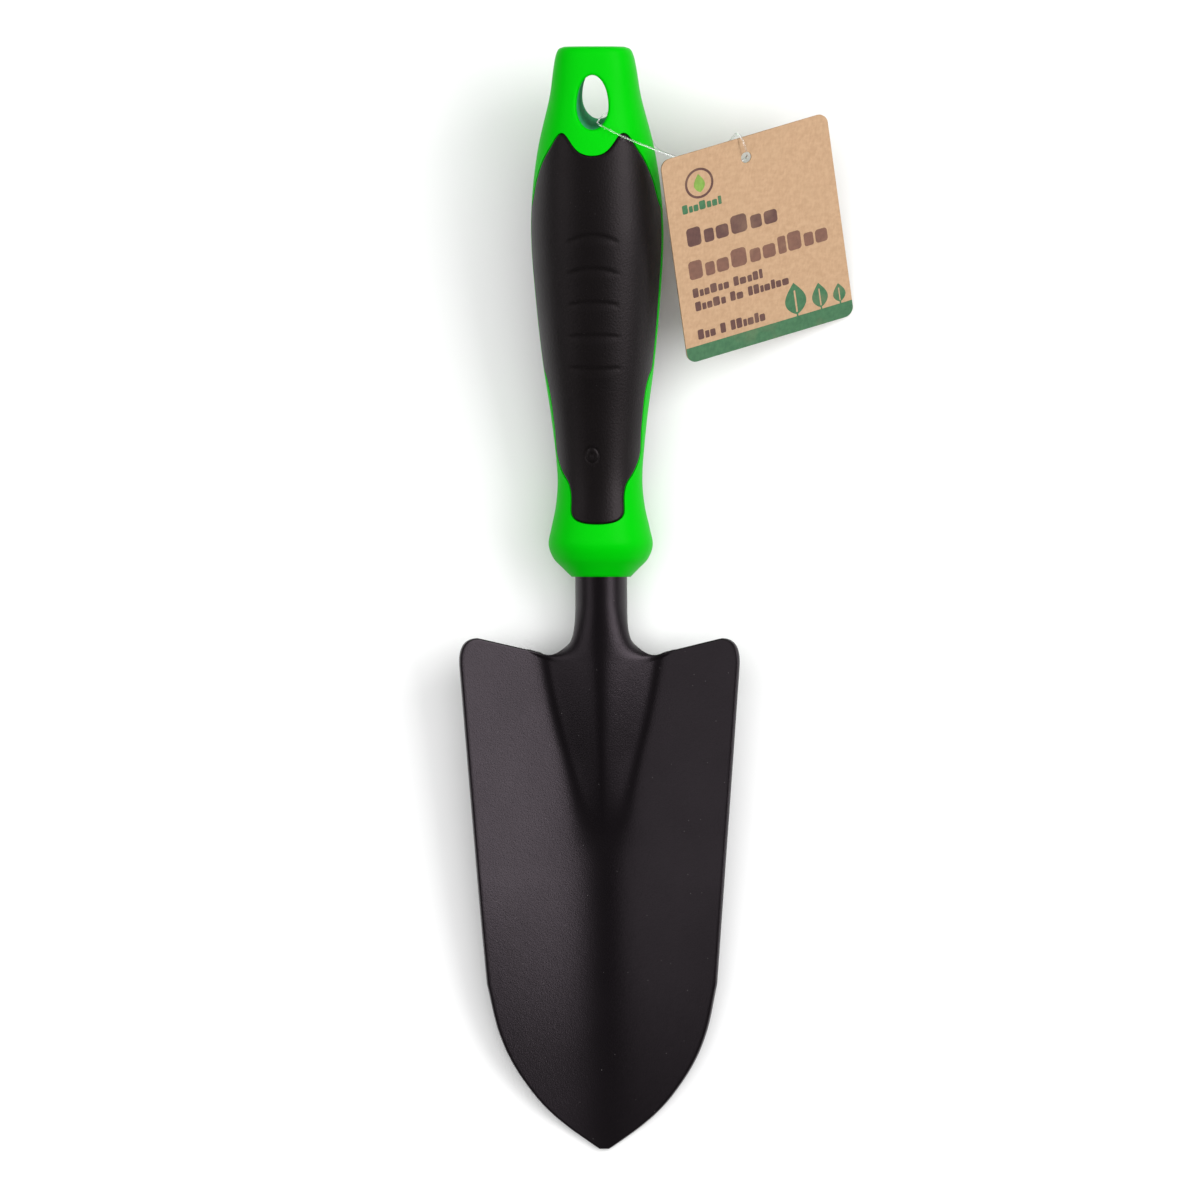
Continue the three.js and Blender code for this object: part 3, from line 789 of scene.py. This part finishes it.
make_panel("grip_front_panel", "grip_front", 0.0, True)
make_panel("grip_rear_panel", "grip_rear", math.pi, False)


# ---- handle core --------------------------------------------------------------------------------
def egg(offset, count=72):
    """The hanging hole's outline grown by an offset, in the plane across its axis."""
    angle = np.linspace(0, 2 * math.pi, count, endpoint=False)
    x, y = np.cos(angle), np.sin(angle)
    tall = np.where(y > 0, HANG_HOLE_ENDS[1], HANG_HOLE_ENDS[0])
    outward = np.stack([x / HANG_HOLE_HALF_WIDTH, y / tall], axis=1)
    outward /= np.linalg.norm(outward, axis=1, keepdims=True)
    return np.stack([x * HANG_HOLE_HALF_WIDTH, y * tall], axis=1) + offset * outward


def along_hole(shape, reach):
    """Points at a distance along the hole's axis, up from the handle's axis, for a shape across it."""
    tilt = math.atan(RISE)
    _, _, axis, _ = section(HANG_HOLE_AT)
    centre = np.array([0, HANDLE_Y + HANG_HOLE_AT + HANG_HOLE_AT_HEIGHT * math.tan(tilt), axis])
    up = np.array([0, -math.sin(tilt), math.cos(tilt)])
    back = np.array([0, math.cos(tilt), math.sin(tilt)])
    return centre + shape[:, :1] * np.array([1, 0, 0]) + shape[:, 1:] * back + np.asarray(reach)[:, None] * up


def reach_surface(shape, side):
    """How far along the hole's axis each point of a shape meets the handle's surface."""
    near, far = np.zeros(len(shape)), np.full(len(shape), 25.0)
    for _ in range(40):
        middle = (near + far) / 2
        p = along_hole(shape, side * middle)
        w, t, axis, n = section(p[:, 1] - HANDLE_Y)
        outside = np.abs(p[:, 0] / w) ** n + np.abs((p[:, 2] - axis) / t) ** n > 1
        near, far = np.where(outside, near, middle), np.where(outside, middle, far)
    return side * near


def hole_rings(side):
    """The rounded rim of one end of the hole, from the handle's surface inwards."""
    rim = reach_surface(egg(HANG_HOLE_FILLET), side)
    rings = []
    for step in np.linspace(0, math.pi / 2, 7):
        offset = HANG_HOLE_FILLET * (1 - math.sin(step))
        rings.append(along_hole(egg(offset), rim - side * HANG_HOLE_FILLET * (1 - math.cos(step))))
    return rings


SKIN_COLUMNS = np.linspace(-math.pi / 2 * UNROLL, 1.5 * math.pi * UNROLL, 84)


def core_skin(mouths):
    """The moulding's outer surface, sunk under both panels and open at the mouths of the hole."""
    left, right = SKIN_COLUMNS[0], SKIN_COLUMNS[-1]
    rows = np.unique(np.concatenate([np.linspace(0, 13, 27), np.arange(14, 141, 1.2),
                                     np.linspace(141, HANDLE_LENGTH, 15)]))
    border = np.array([(a, 0.0) for a in SKIN_COLUMNS] + [(right, s) for s in rows[1:]]
                      + [(a, HANDLE_LENGTH) for a in SKIN_COLUMNS[-2::-1]]
                      + [(left, s) for s in rows[-2:0:-1]])
    grid = np.array([(a, s) for s in rows[1:-1] for a in SKIN_COLUMNS[1:-1]])
    panels = [panel_outline(), panel_outline() + (math.pi * UNROLL, 0)]
    flat, triangles = triangulate([border, *panels, *mouths], grid, 0.3)
    middle = flat[triangles].mean(axis=1)
    sunk = inside(panels[0], middle) | inside(panels[1], middle)
    solid = ~(inside(mouths[0], middle) | inside(mouths[1], middle))
    count = len(flat)
    faces, sunk_beside = [], {}
    for t, low in zip(triangles[solid].tolist(), sunk[solid]):
        faces.append(tuple(n + (count if low else 0) for n in t))
        for edge in ((t[0], t[1]), (t[1], t[2]), (t[2], t[0])):
            sunk_beside[edge] = low
    for (a, b), low in sunk_beside.items():
        if not low and sunk_beside.get((b, a)):
            faces.append((b, a, a + count, b + count))
    return list(on_handle(flat)) + list(on_handle(flat, RECESS_DEPTH)), faces


def make_core():
    """The green moulding: its skin, the hanging hole, the butt's face and the bell's mouth and bore."""
    rims = [hole_rings(1), hole_rings(-1)]
    mouths = [unrolled(rings[0]) for rings in rims]
    mouths[1][:, 0] = np.where(mouths[1][:, 0] < 0, mouths[1][:, 0] + 2 * math.pi * UNROLL, mouths[1][:, 0])
    verts, faces = core_skin(mouths)
    round_hole = len(mouths[0])
    wall_from = len(faces) + (len(rims[0]) - 1) * round_hole
    add_rings(verts, faces, rims[0] + rims[1][::-1])
    angles = SKIN_COLUMNS[:-1]
    faces.append(tuple(range(len(verts), len(verts) + len(angles))))
    verts += list(on_handle(np.stack([angles, np.full_like(angles, HANDLE_LENGTH)], axis=1)))
    bore = [on_handle(np.stack([angles, np.zeros_like(angles)], axis=1))]
    for radius, s in BORE_PROFILE:
        x, z = radius * np.sin(angles / UNROLL), radius * np.cos(angles / UNROLL)
        y = np.full_like(x, HANDLE_Y + max(s, 0))
        bore.append(np.stack([x, y, axis_height(HANDLE_AT + s) + z], axis=1))
    add_rings(verts, faces, bore)
    core = mesh_object("handle_moulding", verts, faces, GREEN, "handle_core")
    # the hole's wall gets the darker green with painted shade
    core.data.materials.append(SHADED_BORE)
    for number in range(wall_from, wall_from + round_hole):
        core.data.polygons[number].material_index = 1
    weld(core, 2e-6)
    sharpen(core, 50)


make_core()


# ---- hang tag -----------------------------------------------------------------------------------
def tag_matrix():
    """From the tag's own plane, with its hole at the origin, to the scene."""
    normal = TAG_ACROSS.cross(TAG_UP_ROUGH).normalized()
    up = normal.cross(TAG_ACROSS).normalized()
    turn = Matrix((TAG_ACROSS, up, normal)).transposed().to_4x4()
    return Matrix.Translation(Vector(TAG_HOLE * MM)) @ turn


def corner_arc(x, y, r, start):
    return [(x + r * math.cos(math.radians(a)), y + r * math.sin(math.radians(a)))
            for a in np.linspace(start, start + 90, CORNER_POINTS)]


def rounded(x0, y0, x1, y1, r):
    """Outline of a rectangle with round corners, from the top right one."""
    return (corner_arc(x1 - r, y1 - r, r, 0) + corner_arc(x0 + r, y1 - r, r, 90)
            + corner_arc(x0 + r, y0 + r, r, 180) + corner_arc(x1 - r, y0 + r, r, 270))


def flat_piece(name, outlines, holes, bottom, top, material, node=None):
    """Thin plates of the given outlines on the tag, between two heights over its middle."""
    data = bpy.data.curves.new(name, "CURVE")
    data.dimensions = "2D"
    data.fill_mode = "BOTH"
    data.extrude = (top - bottom) / 2 * MM
    for outline in outlines + holes:
        spline = data.splines.new("POLY")
        spline.points.add(len(outline) - 1)
        for point, (x, y) in zip(spline.points, outline):
            point.co = (x * MM, y * MM, 0, 1)
        spline.use_cyclic_u = True
    temporary = bpy.data.objects.new(name, data)
    bpy.context.scene.collection.objects.link(temporary)
    mesh = bpy.data.meshes.new_from_object(temporary.evaluated_get(bpy.context.evaluated_depsgraph_get()))
    bpy.data.objects.remove(temporary)
    mesh.transform(tag_matrix() @ Matrix.Translation((0, 0, (top + bottom) / 2 * MM)))
    mesh.materials.clear()
    mesh.materials.append(material)
    obj = bpy.data.objects.new(name, mesh)
    bpy.context.scene.collection.objects.link(obj)
    place(obj, "tag", node)
    weld(obj, 1e-7)


def tag_spot(across, down):
    """From fractions of the tag's width and height, from its top left corner, to its own plane."""
    return TAG_SIZE[0] * (across - 0.5), TAG_HOLE_BELOW_EDGE - TAG_SIZE[1] * down


def bar(x0, x1, y, height):
    """A rounded bar between two places across, centred on y."""
    return rounded(x0, y - height / 2, x1, y + height / 2, min(height, x1 - x0) * 0.3)


def print_line(across, down, length, height, words):
    """A line of print as plain blocks, word by word, centred on a spot; words lists their letters."""
    x, y = tag_spot(across, down)
    widths = [1.0, 0.7, 0.9, 1.15, 0.8, 0.95, 0.6]
    heights = [1.0, 0.72, 0.72, 0.98, 0.72, 0.72, 0.94]
    pattern = []
    for word, letters in enumerate(words):
        for k in range(letters):
            pattern.append((widths[(k + 2 * word) % 7], heights[(k + 3 * word) % 7] if k else 1.0))
        pattern.append((0.55, 0))
    pattern.pop()
    unit = length / sum(width for width, _ in pattern)
    blocks = []
    x -= length / 2
    for width, tall in pattern:
        if tall:
            top = y - height / 2 + height * tall
            blocks.append(rounded(x, y - height / 2, x + unit * width * 0.82, top, unit * width * 0.2))
        x += unit * width
    return blocks


def leaf(x, y, length, width):
    """An upright pointed oval that grows from (x, y)."""
    up = np.linspace(0, 1, 17)
    half = width / 2 * np.sin(math.pi * up ** 0.8)
    right = np.stack([half, up * length], axis=1)
    outline = np.vstack([right, (right * (-1, 1))[-2:0:-1]])
    return [(x + px, y + py) for px, py in outline]


def midrib(x, y, length, width):
    """The slit down the middle of such a leaf."""
    return rounded(x - 0.04 * width, y + 0.08 * length, x + 0.04 * width, y + 0.76 * length, 0.03 * width)


def slit_card():
    """The card's outline, with the slit that runs from its top edge into the round hole."""
    (x0, y1), (x1, y0) = tag_spot(0, 0), tag_spot(1, 1)
    outline = rounded(x0, y0, x1, y1, TAG_CORNER)
    lips = SLIT_HALF / TAG_HOLE_R
    hole = [(TAG_HOLE_R * math.cos(a), TAG_HOLE_R * math.sin(a))
            for a in np.linspace(SLIT_MEETS_HOLE - lips, SLIT_MEETS_HOLE + lips - 2 * math.pi, 60)]
    slit = [(SLIT_X + SLIT_HALF, y1)] + hole + [(SLIT_X - SLIT_HALF, y1)]
    return outline[:CORNER_POINTS] + slit + outline[CORNER_POINTS:]


def make_tag():
    """The card, and its print as plates of ink on the front."""
    half = TAG_CARD / 2
    ink = half + INK
    (x0, _), (x1, y0) = tag_spot(0, 0), tag_spot(1, 1)
    flat_piece("kraft_tag", [slit_card()], [], -half, half, CARD, "hang_tag")
    band_top = tag_spot(0, BAND_TOP)[1]
    band = ([(x1, band_top), (x0, band_top)] + corner_arc(x0 + TAG_CORNER, y0 + TAG_CORNER, TAG_CORNER, 180)
            + corner_arc(x1 - TAG_CORNER, y0 + TAG_CORNER, TAG_CORNER, 270))
    flat_piece("tag_band", [band], [], half, ink, BAND_INK)
    leaves, ribs, stems = [], [], []
    for across, length, width in BAND_LEAVES:
        x = tag_spot(across, 0)[0]
        leaves.append(leaf(x, band_top + 0.45, length, width))
        ribs.append(midrib(x, band_top + 0.45, length, width))
        stems.append(bar(x - 0.25, x + 0.25, band_top + 0.35, 0.9))
    flat_piece("tag_leaves", leaves, ribs, half, ink, BAND_INK)
    flat_piece("tag_stems", stems, [], half, ink - 0.004, BAND_INK)
    dark = [block for line in DARK_LINES for block in print_line(*line)]
    flat_piece("tag_dark_print", dark, [], half, ink, DARK_INK)
    flat_piece("tag_light_print", print_line(0.501, 0.562, 44.0, 5.4, [10]), [], half, ink, LIGHT_INK)
    x, y = tag_spot(*EMBLEM_AT)
    flat_piece("tag_emblem_ring", [ring((x, y), 4.4, 64)], [ring((x, y), 3.7, 64)[::-1]], half, ink, DARK_INK)
    flat_piece("tag_emblem_leaf", [leaf(x, y - 2.7, 5.4, 3.4)], [], half, ink, LEAF_INK)
    flat_piece("tag_emblem_print", print_line(0.207, 0.262, 12.4, 2.6, [7]), [], half, ink, BAND_INK)


make_tag()


# ---- studio -------------------------------------------------------------------------------------
def area_light(name, place_at, size, power, glossy=True):
    """A soft light that faces the origin."""
    data = bpy.data.lights.new(name, "AREA")
    data.shape = "RECTANGLE"
    data.size, data.size_y = size
    data.energy = power
    light = bpy.data.objects.new(name, data)
    bpy.context.scene.collection.objects.link(light)
    light.location = place_at
    light.rotation_euler = (-Vector(place_at)).to_track_quat("-Z", "Y").to_euler()
    light.visible_glossy = glossy


def make_studio():
    bpy.ops.mesh.primitive_plane_add(size=8)
    floor = bpy.context.object
    floor.name = "studio_floor"
    floor.data.materials.append(studio_floor())
    world = bpy.data.worlds.new("studio")
    bpy.context.scene.world = world
    world.use_nodes = True
    background = world.node_tree.nodes["Background"]
    background.inputs["Color"].default_value = (1, 1, 1, 1)
    background.inputs["Strength"].default_value = 0.10
    area_light("key_right", (1.42, 0.30, 1.42), (1.8, 1.0), 32)
    area_light("fill_left", (-1.55, 0.1, 1.35), (1.8, 1.0), 7.5)
    area_light("fill_butt", (0.1, 1.9, 1.0), (1.6, 0.8), 6)
    area_light("overhead", (0.0, 0.001, 2.5), (3.0, 3.0), 62, glossy=False)


make_studio()
